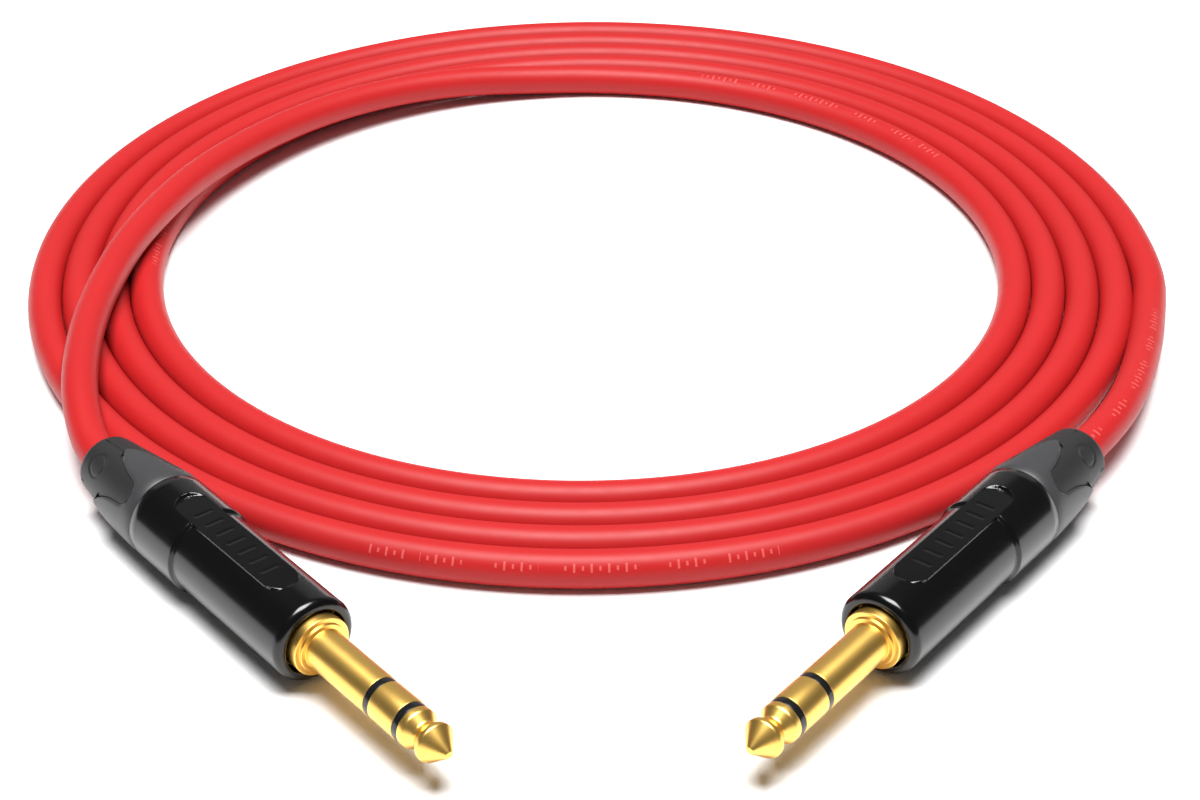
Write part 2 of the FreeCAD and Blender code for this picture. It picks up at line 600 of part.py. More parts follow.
def spiral_band(on_coil, begin, finish, half, radius):
    """Flat face between the coil's inner and outer edges, with a radial step at each end."""
    down = Vector(0, 0, -radius)
    step = 10.0
    inner = angles_between(begin, begin + 360, step)
    outer = angles_between(finish - 360, finish, step)
    inner_edge = [on_coil(angle, -half) + down for angle in inner]
    outer_edge = [on_coil(angle, half) + down for angle in outer]
    curves = [smooth_curve(inner_edge), smooth_curve(outer_edge)]
    hole = Part.Wire([curves[0].toShape(), Part.LineSegment(inner_edge[-1], inner_edge[0]).toShape()])
    rim = Part.Wire([curves[1].toShape(), Part.LineSegment(outer_edge[-1], outer_edge[0]).toShape()])
    return Part.Face(rim).cut(Part.Face(hole))


def angles_between(first, last, step):
    count = int(round((last - first) / step))
    return [first + (last - first) * i / count for i in range(count + 1)]


def smooth_curve(points):
    curve = Part.BSplineCurve()
    curve.interpolate(points)
    return curve


def add_node(doc, name, shape):
    item = doc.addObject("Part::Feature", name)
    item.Shape = shape
    item.Label = name


def write_parts(doc):
    skip = ("boot_grip_blank",)
    kinds = ("PartDesign::Body", "Part::Feature", "Part::Cut")
    nodes = [item for item in doc.Objects if item.TypeId in kinds and not item.Label.endswith(skip)]
    for item in doc.Objects:
        if "Invalid" in item.State or "Error" in item.State:
            raise RuntimeError("%s failed: %s" % (item.Label, item.State))
    for item in nodes:
        if item.Shape.isNull() or not item.Shape.isValid():
            raise RuntimeError("%s has no valid shape" % item.Label)
    os.makedirs("parts", exist_ok=True)
    for item in nodes:
        item.Shape.exportStep("parts/%s.step" % item.Label)
        print("%-24s %d solid(s) %9.2f mm3" % (item.Label, len(item.Shape.Solids), item.Shape.Volume))


main()
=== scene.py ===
import json
import math

import bmesh
import bpy
from bpy.props import FloatProperty, FloatVectorProperty, IntProperty, PointerProperty
from mathutils import Matrix, Vector


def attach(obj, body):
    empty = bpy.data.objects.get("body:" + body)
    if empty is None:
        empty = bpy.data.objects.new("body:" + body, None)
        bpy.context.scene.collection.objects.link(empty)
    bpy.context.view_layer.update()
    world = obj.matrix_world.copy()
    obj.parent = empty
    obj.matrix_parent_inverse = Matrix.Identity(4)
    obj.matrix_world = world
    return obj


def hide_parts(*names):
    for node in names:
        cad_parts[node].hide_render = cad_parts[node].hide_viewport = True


bl_info = {
    "name": "Instrument Cable",
    "version": (1, 0, 0),
    "blender": (4, 5, 0),
    "location": "View3D > Sidebar > Cable",
    "description": "Coiled instrument cable with a gold three-contact plug on each end",
    "category": "Object",
}

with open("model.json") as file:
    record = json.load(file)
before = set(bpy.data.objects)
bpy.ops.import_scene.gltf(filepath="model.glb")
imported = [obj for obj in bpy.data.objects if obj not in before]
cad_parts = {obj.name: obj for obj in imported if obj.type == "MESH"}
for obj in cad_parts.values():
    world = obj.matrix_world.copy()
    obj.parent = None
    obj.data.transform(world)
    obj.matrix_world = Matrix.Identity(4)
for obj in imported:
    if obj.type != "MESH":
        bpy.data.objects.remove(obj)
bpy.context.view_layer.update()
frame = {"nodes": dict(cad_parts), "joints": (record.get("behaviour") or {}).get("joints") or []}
MM = 0.001
SIDES = ("left", "right")

# Points of the cable's two loose ends, from the boots to the coil, in metres.
LEFT_TAIL = [(-0.0834, 0.0418, 0.0078), (-0.0860, 0.0505, 0.0088), (-0.0874, 0.0588, 0.0093),
             (-0.0885, 0.0690, 0.0093), (-0.0888, 0.0788, 0.0093), (-0.0883, 0.0893, 0.0093),
             (-0.0873, 0.0994, 0.0093), (-0.0853, 0.1096, 0.0093), (-0.0813, 0.1241, 0.0090),
             (-0.0764, 0.1374, 0.0081), (-0.0698, 0.1496, 0.0074), (-0.0617, 0.1607, 0.0069),
             (-0.0519, 0.1703, 0.0064), (-0.0406, 0.1781, 0.0058), (-0.0281, 0.1839, 0.0049),
             (-0.0149, 0.1874, 0.0037)]
RIGHT_TAIL = [(0.0910, 0.0554, 0.0063), (0.0966, 0.0712, 0.0045), (0.1009, 0.0869, 0.0032)]
# Where the printed legend turns up: distance along the cable, and turn from the top of the jacket.
LEGENDS = [(0.261, 12.0), (0.608, 35.0), (2.172, -52.0), (2.712, -20.0)]


# ---- sizes and colours that a user would change ----

class CableSizes(bpy.types.PropertyGroup):
    """The cable and its coil."""

    diameter: FloatProperty(name="Diameter", description="Outside of the jacket", default=0.0061,
                            unit="LENGTH", precision=4)
    turn_gap: FloatProperty(name="Turn gap", description="Space between touching turns", default=0.00005,
                            unit="LENGTH", precision=5)
    inner_radius: FloatProperty(name="Inner radius", description="Coil radius at angle zero", default=0.08015,
                                unit="LENGTH", precision=4)
    start_angle: FloatProperty(name="Start", description="Where the inner turn begins",
                               default=math.radians(-88), subtype="ANGLE")
    end_angle: FloatProperty(name="End", description="Where the outer turn ends", default=math.radians(1444),
                             subtype="ANGLE")
    sides: IntProperty(name="Sides", description="Faces round the jacket", default=36, min=12)


class PlugSizes(bpy.types.PropertyGroup):
    """Small shapes on the plugs that the frame's solids leave plain."""

    edge: FloatProperty(name="Edge", description="Rounding of the turned edges", default=0.00012,
                        unit="LENGTH", precision=5)
    badge_depth: FloatProperty(name="Badge depth", description="Depth of the housing's recess",
                               default=0.00055, unit="LENGTH", precision=5)
    groove: FloatProperty(name="Groove", description="Rounding where boot and grip meet", default=0.00014,
                          unit="LENGTH", precision=5)


class Finishes(bpy.types.PropertyGroup):
    """Colours of the finishes."""

    jacket: FloatVectorProperty(name="Jacket", description="Cable jacket", subtype="COLOR", size=3,
                                default=(0.41, 0.012, 0.013))
    legend: FloatVectorProperty(name="Legend", description="Print on the jacket", subtype="COLOR", size=3,
                                default=(0.58, 0.12, 0.11))
    gold: FloatVectorProperty(name="Gold", description="Plated contacts", subtype="COLOR", size=3,
                              default=(1.0, 0.64, 0.17))
    barrel: FloatVectorProperty(name="Housing", description="Gloss paint of the housing", subtype="COLOR",
                                size=3, default=(0.0008, 0.0008, 0.0009))
    boot: FloatVectorProperty(name="Boot", description="Moulded boot", subtype="COLOR", size=3,
                              default=(0.036, 0.036, 0.038))
    grip: FloatVectorProperty(name="Grip", description="Soft grip", subtype="COLOR", size=3,
                              default=(0.009, 0.009, 0.0095))


class StageLook(bpy.types.PropertyGroup):
    """Floor and light."""

    floor: FloatVectorProperty(name="Floor", description="Floor colour", subtype="COLOR", size=3,
                               default=(0.90, 0.90, 0.90))
    overhead: FloatProperty(name="Overhead light", description="Power of the overhead softbox", default=24.0,
                            unit="POWER")
    back: FloatProperty(name="Back light", description="Power of the card behind", default=1.4, unit="POWER")


# ---- where each plug lies, read from the frame ----

class PlugPlace:
    """A plug's own frame: X from its nose to the cable, Z up, origin at the nose; stations in metres."""

    def __init__(self, side):
        self.side = side
        joint = next(j for j in frame["joints"] if j["name"] == side + "_boot_turn")
        along = Vector(joint["axis"]).normalized()
        across = Vector((0, 0, 1)).cross(along)
        rotation = Matrix((along, across, (0, 0, 1))).transposed().to_4x4()
        at_joint = Matrix.Translation(joint["pos_m"]) @ rotation
        nose = min(self.stations(at_joint, "tip_contact"))
        self.matrix = at_joint @ Matrix.Translation((nose, 0, 0))

    def stations(self, matrix, piece):
        back = matrix.inverted()
        return [(back @ v.co).x for v in frame["nodes"]["%s_%s" % (self.side, piece)].data.vertices]

    def span(self, piece):
        """First and last station of one of the plug's CAD solids."""
        stations = self.stations(self.matrix, piece)
        return min(stations), max(stations)

    def point(self, station, radius, angle):
        """Point of the plug; the angle is measured from straight up towards local +Y."""
        return self.matrix @ Vector((station, radius * math.sin(angle), radius * math.cos(angle)))


# ---- mesh helpers ----

def arc(centre, radius, first, last, steps):
    """Points of an arc in an outline, from the first to the last angle in radians."""
    turns = [first + (last - first) * i / steps for i in range(steps + 1)]
    return [(centre[0] + radius * math.cos(a), centre[1] + radius * math.sin(a)) for a in turns]


def rounded(corners, steps=5):
    """Closed outline from (station, radius, rounding) corners, each rounded by a tangent arc."""
    points = []
    count = len(corners)
    for i, (x, y, fillet) in enumerate(corners):
        here = Vector((x, y))
        before = Vector(corners[i - 1][:2]) - here
        after = Vector(corners[(i + 1) % count][:2]) - here
        if fillet == 0 or before.length == 0 or after.length == 0:
            points.append((x, y))
            continue
        half = before.angle(after) / 2
        reach = min(fillet / math.tan(half), 0.49 * before.length, 0.49 * after.length)
        enter = here + before.normalized() * reach
        leave = here + after.normalized() * reach
        for step in range(steps + 1):
            share = step / steps
            bend = enter.lerp(here, share).lerp(here.lerp(leave, share), share)
            points.append((bend.x, bend.y))
    return points


def skin(name, rows, smooth_under=math.radians(38)):
    """Closed mesh through rows of points that run round; the last row joins the first."""
    mesh = bmesh.new()
    layer = [[mesh.verts.new(point) for point in row] for row in rows]
    for row, above in zip(layer, layer[1:] + layer[:1]):
        for a, b, c, d in zip(row, row[1:] + row[:1], above[1:] + above[:1], above):
            mesh.faces.new((a, b, c, d))
    bmesh.ops.remove_doubles(mesh, verts=mesh.verts, dist=2e-6)
    bmesh.ops.dissolve_degenerate(mesh, edges=mesh.edges, dist=1e-7)
    bmesh.ops.recalc_face_normals(mesh, faces=mesh.faces)
    data = bpy.data.meshes.new(name)
    mesh.to_mesh(data)
    mesh.free()
    data.shade_smooth()
    data.set_sharp_from_angle(angle=smooth_under)
    piece = bpy.data.objects.new(name, data)
    bpy.context.scene.collection.objects.link(piece)
    return piece


def even_turn(sides):
    return [2 * math.pi * i / sides for i in range(sides)]


def turned(place, name, outline, sides=96):
    """Body of revolution about the plug's axis from a closed outline of (station, radius)."""
    rows = [[place.point(x, y, angle) for angle in even_turn(sides)] for x, y in outline]
    return skin("%s_%s" % (place.side, name), rows)


def stand_for(piece, body, finish, slot, *nodes):
    """Hand a new piece to its CAD body, in place of these CAD solids."""
    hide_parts(*nodes)
    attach(piece, body)
    piece.data.materials.append(finish)
    return piece


def smooth(share):
    """Ease from 0 to 1."""
    share = min(max(share, 0.0), 1.0)
    return share * share * (3 - 2 * share)


# ---- shader helpers ----

class Value:
    """A number that changes over a surface; arithmetic on it adds Math nodes."""

    def __init__(self, finish, socket):
        self.finish = finish
        self.socket = socket

    def math(self, operation, *terms):
        sockets = dict(enumerate(terms))
        return self.finish.add("ShaderNodeMath", {"operation": operation}, sockets).out("Value")

    def __add__(self, other):
        return self.math("ADD", self, other)

    __radd__ = __add__

    def __mul__(self, other):
        return self.math("MULTIPLY", self, other)

    __rmul__ = __mul__

    def __truediv__(self, other):
        return self.math("DIVIDE", self, other)

    def __lt__(self, other):
        return self.math("LESS_THAN", self, other)

    def __gt__(self, other):
        return self.math("GREATER_THAN", self, other)

    def __abs__(self):
        return self.math("ABSOLUTE", self)

    def fraction(self):
        return self.math("FRACT", self)

    def between(self, low, high):
        return (self > low) * (self < high)


class Node:
    """A node of a finish, whose outputs are read by name."""

    def __init__(self, finish, node):
        self.finish = finish
        self.node = node

    def out(self, name):
        return Value(self.finish, self.node.outputs[name])


class Finish:
    """A node material under construction."""

    def __init__(self, name):
        self.material = bpy.data.materials.new(name)
        self.material.use_nodes = True
        self.tree = self.material.node_tree
        self.tree.nodes.clear()

    def add(self, kind, settings, sockets):
        """Add a node: its settings first, then the values or links of its sockets."""
        node = self.tree.nodes.new(kind)
        for name, value in settings.items():
            setattr(node, name, value)
        for name, value in sockets.items():
            if isinstance(value, Value):
                self.tree.links.new(value.socket, node.inputs[name])
            else:
                node.inputs[name].default_value = value
        return Node(self, node)

    def place(self):
        """Position on the object, in metres."""
        return self.add("ShaderNodeTexCoord", {}, {}).out("Object")

    def noise(self, vector, scale, detail=3.0, roughness=0.5):
        sockets = {"Vector": vector, "Scale": scale, "Detail": detail, "Roughness": roughness}
        return self.add("ShaderNodeTexNoise", {}, sockets).out("Fac")

    def map_marks(self, name):
        """The two numbers of a named map, as separate values."""
        marks = self.add("ShaderNodeUVMap", {"uv_map": name}, {}).out("UV")
        split = self.add("ShaderNodeSeparateXYZ", {}, {"Vector": marks})
        return split.out("X"), split.out("Y")

    def mixed(self, share, first, second):
        settings = {"data_type": "RGBA"}
        sockets = {"Factor": share, 6: colour(first), 7: colour(second)}
        node = self.add("ShaderNodeMix", settings, sockets).node
        return Value(self, node.outputs[2])

    def bump(self, height, strength, distance, over=None):
        sockets = {"Height": height, "Strength": strength, "Distance": distance}
        if over is not None:
            sockets["Normal"] = over
        return self.add("ShaderNodeBump", {}, sockets).out("Normal")

    def surface(self, **sockets):
        """Close the material with one Principled shader; a socket's name is written with underscores."""
        named = {name.replace("_", " "): value for name, value in sockets.items()}
        shader = self.add("ShaderNodeBsdfPrincipled", {}, named)
        output = self.tree.nodes.new("ShaderNodeOutputMaterial")
        self.tree.links.new(shader.node.outputs["BSDF"], output.inputs["Surface"])
        return self.material


def colour(value):
    """RGBA from a colour of three numbers; links and single numbers pass through."""
    return value if isinstance(value, Value) else (*value, 1.0)


# ---- finishes ----

def jacket_finish(looks, printed=True):
    """Satin PVC, a little uneven, with a pale legend of plain strokes where it is printed."""
    finish = Finish("jacket_pvc")
    place = finish.place()
    cloud = finish.noise(place, 60.0, 2.0)
    red = finish.mixed(cloud * 0.6, looks.jacket, [c * 0.86 for c in looks.jacket])
    if printed:
        along, across = finish.map_marks("legend")
        red = finish.mixed(legend_mask(along, across) * 0.62, red, looks.legend)
    grain = finish.noise(place, 2600.0, 2.0)
    swell = finish.noise(place, 140.0, 1.0)
    normal = finish.bump(grain, 0.10, 0.00004, finish.bump(swell, 0.12, 0.0004))
    return finish.surface(Base_Color=red, Roughness=0.40 + 0.12 * finish.noise(place, 320.0), Normal=normal,
                          Specular_IOR_Level=0.25)


def legend_mask(along, across):
    """Six groups of short upright strokes, every other one half as tall."""
    groups = [(-31, -22.5), (-20, -14), (-10, 2), (5.5, 12.5), (17, 23.5), (25.5, 31.5)]
    shown = 0.0
    for first, last in groups:
        shown = along.between(first, last) + shown
    stroke = (along / 1.3).fraction() < 0.26
    tall = ((along / 2.6).fraction() < 0.5) * 0.35 + 0.35
    return shown * stroke * (abs(across) < tall)


def gold_finish(looks):
    """Polished gold plate over turned brass: faint rings round the axis and softer cloudy patches."""
    finish = Finish("gold_plate")
    station = finish.map_marks("turned")[0]
    place = finish.place()
    rings = finish.add("ShaderNodeTexNoise", {"noise_dimensions": "1D"},
                       {"W": station, "Scale": 14.0, "Detail": 4.0}).out("Fac")
    cloud = finish.noise(place, 420.0, 3.0)
    tone = finish.mixed(cloud, looks.gold, [c * s for c, s in zip(looks.gold, (0.95, 0.90, 0.80))])
    roughness = 0.27 + 0.08 * rings + 0.05 * cloud
    normal = finish.bump(rings, 0.05, 0.00003)
    return finish.surface(Base_Color=tone, Metallic=1.0, Roughness=roughness, Normal=normal)


def plain_finish(name, base, roughness, grain_scale=1500.0, grain=0.08, metallic=0.0, variation=0.2):
    """Moulded or metal surface with fine grain and slightly uneven colour."""
    finish = Finish(name)
    place = finish.place()
    cloud = finish.noise(place, 180.0, 3.0)
    tone = finish.mixed(cloud, base, [c * (1 - variation) for c in base])
    texture = finish.noise(place, grain_scale, 3.0)
    rough = (roughness - 0.05) + 0.10 * finish.noise(place, 700.0, 3.0)
    return finish.surface(Base_Color=tone, Roughness=rough, Metallic=metallic,
                          Normal=finish.bump(texture, grain, 0.00004))


def barrel_finish(looks):
    """Deep gloss black with an even, very fine orange peel."""
    finish = Finish("housing_gloss")
    place = finish.place()
    peel = finish.noise(place, 900.0, 2.0)
    fine = finish.noise(place, 5200.0, 2.0)
    roughness = 0.15 + 0.07 * finish.noise(place, 260.0, 3.0) + 0.03 * fine
    tone = finish.mixed(finish.noise(place, 120.0), looks.barrel, [c * 1.6 for c in looks.barrel])
    normal = finish.bump(fine, 0.05, 0.00002, finish.bump(peel, 0.05, 0.00005))
    return finish.surface(Base_Color=tone, Roughness=roughness, Normal=normal, IOR=1.5)


# ---- the cable ----

def coil_centre():
    return Vector((-0.00124, 0.11002, 0.0))


def coil_points(sizes):
    """Control points of the flat spiral, a set number to each turn."""
    per_turn = 24
    step = 2 * math.pi / per_turn
    pitch = sizes.diameter + sizes.turn_gap
    centre = coil_centre()
    count = int((sizes.end_angle - sizes.start_angle) / step)
    points = []
    for i in range(count + 1):
        angle = sizes.start_angle + (sizes.end_angle - sizes.start_angle) * i / count
        reach = (sizes.inner_radius + pitch * angle / (2 * math.pi)) / math.cos(step / 2)
        spot = Vector((reach * math.cos(angle), -reach * math.sin(angle), sizes.diameter / 2))
        points.append(centre + spot)
    return points


def route_points(sizes):
    """From the left boot, over and into the coil, round it, and out to the right boot."""
    left, right = PlugPlace("left"), PlugPlace("right")
    left_exit, right_exit = left.span("cable_end")[1], right.span("cable_end")[1]
    points = [left.point(left_exit, 0, 0), left.point(left_exit + 0.0036, 0, 0)]
    points += [Vector(point) for point in LEFT_TAIL]
    points += coil_points(sizes)
    points += [Vector(point) for point in reversed(RIGHT_TAIL)]
    points += [right.point(right_exit + 0.010, 0, 0), right.point(right_exit, 0, 0)]
    return points


def spline_centreline(points):
    """Read the smooth line of a quadratic NURBS spline with these control points."""
    curve = bpy.data.curves.new("cable_route", "CURVE")
    curve.dimensions = "3D"
    curve.resolution_u = 10
    spline = curve.splines.new("NURBS")
    spline.points.add(len(points) - 1)
    for target, point in zip(spline.points, points):
        target.co = (*point, 1.0)
    spline.order_u = 3
    spline.use_endpoint_u = True
    route = bpy.data.objects.new("cable_route", curve)
    bpy.context.scene.collection.objects.link(route)
    line = bpy.data.meshes.new_from_object(route)
    path = [vertex.co.copy() for vertex in line.vertices]
    bpy.data.objects.remove(route)
    bpy.data.curves.remove(curve)
    bpy.data.meshes.remove(line)
    return path


def distances(path):
    """Distance along the path of each of its points."""
    total = 0.0
    found = [total]
    for before, after in zip(path, path[1:]):
        total += (after - before).length
        found.append(total)
    return found


def tube(name, path, radius, sides):
    """Round tube along a path, with its angle counted from the top, and the legend's map."""
    mesh = bmesh.new()
    marks = mesh.loops.layers.uv.new("legend")
    rings = []
    for i, point in enumerate(path):
        ahead = path[min(i + 1, len(path) - 1)]
        behind = path[max(i - 1, 0)]
        along = (ahead - behind).normalized()
        side = along.cross(Vector((0, 0, 1))).normalized()
        up = side.cross(along)
        rings.append([mesh.verts.new(point + radius * (side * math.sin(a) + up * math.cos(a)))
                      for a in even_turn(sides)])
    places = distances(path)
    for i in range(len(rings) - 1):
        for k in range(sides):
            after = (k + 1) % sides
            face = mesh.faces.new((rings[i][k], rings[i][after], rings[i + 1][after], rings[i + 1][k]))
            corners = ((i, k), (i, k + 1), (i + 1, k + 1), (i + 1, k))
            for loop, (ring, turn) in zip(face.loops, corners):
                loop[marks].uv = legend_place(places[ring], 360.0 * turn / sides, places[i], radius)
    mesh.faces.new(rings[0])
    mesh.faces.new(rings[-1])
    bmesh.ops.recalc_face_normals(mesh, faces=mesh.faces)
    data = bpy.data.meshes.new(name)
    mesh.to_mesh(data)
    mesh.free()
    data.shade_smooth()
    data.set_sharp_from_angle(angle=math.radians(60))
    piece = bpy.data.objects.new(name, data)
    bpy.context.scene.collection.objects.link(piece)
    return piece


def legend_place(distance, degrees, reference, radius):
    """Millimetres along and across from the middle of the nearest printed legend."""
    middle, turn = min(LEGENDS, key=lambda legend: abs(legend[0] - reference))
    across = (degrees - turn % 360 + 180) % 360 - 180
    return (distance - middle) / MM, math.radians(across) * radius / MM


class CABLE_OT_jacket(bpy.types.Operator):
    """Make the cable as one tube through its coil"""

    bl_idname = "instrument_cable.jacket"
    bl_label = "Cable"

    def execute(self, context):
        sizes = context.scene.cable_sizes
        path = spline_centreline(route_points(sizes))
        cable = tube("cable", path, sizes.diameter / 2, sizes.sides)
        stand_for(cable, "cable", jacket_finish(context.scene.finishes), "jacket",
                  "cable_coil", "left_tail", "right_tail")
        length = distances(path)[-1]
        print("cable length %.4f m" % length)
        return {"FINISHED"}


# ---- the plug's finger ----

def mark_turned(piece, place):
    """Map of station in millimetres and turn, for finishes that follow the lathe."""
    data = piece.data
    layer = data.uv_layers.new(name="turned")
    back = place.matrix.inverted()
    spots = [back @ vertex.co for vertex in data.vertices]
    for loop in data.loops:
        spot = spots[loop.vertex_index]
        layer.uv[loop.index].vector = (spot.x / MM, math.atan2(spot.y, spot.z) / (2 * math.pi))


def finger_outlines(place, edge):
    """Closed outlines of the finger's pieces, from the stations of their CAD solids."""
    tip_end = place.span("tip_insulator")[0]
    ring_start = place.span("ring_contact")[0]
    ring_end = place.span("ring_insulator")[0]
    sleeve_start = place.span("sleeve_contact")[0]
    flange_end = place.span("sleeve_contact")[1]
    rod_end = place.span("tip_contact")[1]
    collar = flange_end - 7.8 * MM
    flange = flange_end - 3.0 * MM
    full, band = 3.175 * MM, 3.11 * MM
    tip = [(0, 0, 0), (0, 0.55 * MM, 0.4 * MM),
           (3.15 * MM, 3.12 * MM, 0.55 * MM), (3.85 * MM, 3.05 * MM, 0.4 * MM),
           (5.4 * MM, 1.95 * MM, 0.75 * MM), (6.9 * MM, 3.12 * MM, 0.8 * MM), (tip_end, 3.12 * MM, edge),
           (tip_end, 0.8 * MM, 0), (rod_end, 0.8 * MM, 0), (rod_end, 0, 0)]
    sleeve = [(sleeve_start, 1.87 * MM, 0), (sleeve_start, full, edge), (29.7 * MM, full, 0.1 * MM),
              (29.75 * MM, 3.9 * MM, edge), (collar, 3.92 * MM, 0.08 * MM),
              (collar + 0.05 * MM, 4.7 * MM, 0.2 * MM),
              (flange, 4.7 * MM, 0.1 * MM), (flange, 5.6 * MM, edge), (flange_end, 5.6 * MM, edge),
              (flange_end, 1.87 * MM, 0)]
    return {
        "tip_contact": tip,
        "tip_insulator": band_outline(tip_end, ring_start, band, 0.82 * MM, 1.15 * MM,
                                      place.span("tip_insulator")[1], edge),
        "ring_contact": band_outline(ring_start, ring_end, full, 1.17 * MM, 1.50 * MM,
                                     place.span("ring_contact")[1], edge),
        "ring_insulator": band_outline(ring_end, sleeve_start, band, 1.52 * MM, 1.85 * MM,
                                       place.span("ring_insulator")[1], edge),
        "sleeve_contact": sleeve,
    }


def band_outline(start, end, radius, bore, outside, tube_end, edge):
    """A band that shows on the finger with its tube behind it."""
    return [(start, bore, 0), (start, radius, edge), (end, radius, edge), (end, outside, 0),
            (tube_end, outside, 0), (tube_end, bore, 0)]


class CABLE_OT_fingers(bpy.types.Operator):
    """Turn the contacts and insulators of both fingers"""

    bl_idname = "instrument_cable.fingers"
    bl_label = "Fingers"

    def execute(self, context):
        looks = context.scene.finishes
        gold = gold_finish(looks)
        black = plain_finish("insulator_gloss", (0.006, 0.006, 0.007), 0.22)
        for side in SIDES:
            place = PlugPlace(side)
            for name, outline in finger_outlines(place, context.scene.plug_sizes.edge).items():
                piece = turned(place, name + "_turned", rounded(outline))
                mark_turned(piece, place)
                contact = name.endswith("contact")
                stand_for(piece, "cable", gold if contact else black, "gold" if contact else "insulator",
                          "%s_%s" % (side, name))
        return {"FINISHED"}


# ---- the housing ----

def badge_drop(station, angle, radius, floor):
    """How far the badge's flat floor lies under the round surface (above it where negative)."""
    first, last, half = 37.5 * MM, 66.3 * MM, 2.8 * MM
    if math.cos(angle) < 0.7:
        return 0.0
    across = floor * math.tan(angle)
    nearest = min(max(station, first + half), last - half)
    inside = half - math.hypot(station - nearest, across)
    return (radius - floor / math.cos(angle)) * smooth(inside / (0.2 * MM) + 0.5)


def rib_drop(station, angle, radius):
    """Plain raised-edge slots across the badge's floor."""
    count, pitch, middle = 7, 3.0 * MM, 51.9 * MM
    nearest = round((station - middle) / pitch)
    if abs(nearest) > count // 2:
        return 0.0
    along = abs(station - middle - nearest * pitch)
    across = abs(radius * math.sin(angle))
    wall = 0.3 * MM
    shown = smooth((0.42 * MM - along) / wall) * smooth((1.55 * MM - across) / wall)
    return 0.05 * MM * shown if math.cos(angle) > 0 else 0.0


def housing_rows(place, depth):
    """Sections of the housing: the outer surface from lip to rear, then the bore back to the lip."""
    start, end = place.span("housing")
    full, slim, step_at = 7.25 * MM, 6.75 * MM, 60.0 * MM
    mouth, bore, thread = 5.1 * MM, 5.9 * MM, 6.3 * MM
    floor = full - depth
    fine = [math.radians(1.1) * i for i in range(-25, 26)]
    coarse_count = 62
    rest = 2 * math.pi - 2 * fine[-1]
    coarse = [fine[-1] + rest * (i + 1) / (coarse_count + 1) for i in range(coarse_count)]
    angles = fine + coarse
    lip = [(start + 0.25 * MM, mouth), (start + 0.03 * MM, mouth + 0.18 * MM), (start, mouth + 0.3 * MM),
           (start, slim - 1.35 * MM)]
    lip += arc((start + 1.3 * MM, slim - 1.3 * MM), 1.3 * MM, math.pi, math.pi / 2, 12)
    stations = [start + 1.8 * MM, start + 3.2 * MM]
    steps = int((66.9 - 37.1) / 0.14)
    stations += [(37.1 + (66.9 - 37.1) * i / steps) * MM for i in range(steps + 1)]
    stations += [end - 3.5 * MM, end - 1.5 * MM, end - 0.12 * MM]
    inner = [(end, full - 0.12 * MM), (end, thread + 0.1 * MM), (end - 0.1 * MM, thread), (64 * MM, thread),
             (64 * MM, bore), (start + 3.4 * MM, bore), (start + 3.4 * MM, mouth)]
    rows = [[place.point(x, y, a) for a in angles] for x, y in lip]
    for x in stations:
        radius = slim + (full - slim) * smooth((x - step_at) / (0.7 * MM) + 0.5)
        rows.append([place.point(x, radius - badge_drop(x, a, radius, floor) - rib_drop(x, a, floor), a)
                     for a in angles])
    rows += [[place.point(x, y, a) for a in angles] for x, y in inner]
    return rows


class CABLE_OT_housings(bpy.types.Operator):
    """Make both housings with lip, badge recess and seam"""

    bl_idname = "instrument_cable.housings"
    bl_label = "Housings"

    def execute(self, context):
        gloss = barrel_finish(context.scene.finishes)
        for side in SIDES:
            place = PlugPlace(side)
            rows = housing_rows(place, context.scene.plug_sizes.badge_depth)
            piece = skin(side + "_housing_shell", rows, math.radians(50))
            stand_for(piece, "cable", gloss, "housing", side + "_housing")
        return {"FINISHED"}


# ---- the boot ----

def tongue_half_width(along):
    """Half-width of a grip's tongue, counted from its nose: half-round, then flanks that flare."""
    nose = 2.2 * MM
    if along <= 0:
        return 0.0
    if along < nose:
        return math.sqrt(nose ** 2 - (nose - along) ** 2)
    share = (along - nose) / (9.2 * MM - nose)
    return nose + (1.24 * share + 1.41 * share ** 3) * MM


def tongue_angle(station, nose_station, radius):
    """Half-angle that a tongue takes up at a station, at most an eighth of a turn."""
    half = tongue_half_width(station - nose_station)
    return min(math.asin(min(half / radius, 1.0)), math.pi / 4)


def sector_row(place, clock, station, tongue, petal, open_angle, rim, columns):
    """Section with four tongues and four petals between them, walls square to the surface."""
    row = []
    half_petal = math.pi / 4 - open_angle
    rim_angle = min(rim / 0.007, 0.4 * half_petal, 0.4 * open_angle)
    for quarter in range(4):
        middle = clock + quarter * math.pi / 2
        row += sweep(place, station, middle, open_angle, tongue, rim, rim_angle, columns[0])
        row += sweep(place, station, middle + math.pi / 4, half_petal, petal, rim, rim_angle, columns[1])
    return row


def sweep(place, station, middle, half, height, rim, rim_angle, count):
    """Points across one tongue or petal; height gives its radius, and its rims are rounded."""
    points = []
    for i in range(count + 1):
        angle = -half + 2 * half * i / count
        edge = half - abs(angle)
        if rim_angle > 0 and edge < rim_angle:
            lift = math.sqrt(max(1 - (1 - edge / rim_angle) ** 2, 0.0))
        else:
            lift = 1.0
        radius = height(station, angle, middle) - rim * (1 - lift)
        points.append(place.point(station, radius, middle + angle))
    return points


def boot_stations(nose, reach):
    """Close together at the tongues' round noses and at the petals' points."""
    stations = [nose + 2.2 * MM * (1 - math.cos(math.pi / 2 * i / 12)) for i in range(13)]
    steps = 44
    stations += [nose + 2.2 * MM + (reach - 2.2 * MM) * i / steps for i in range(1, steps + 1)]
    return stations


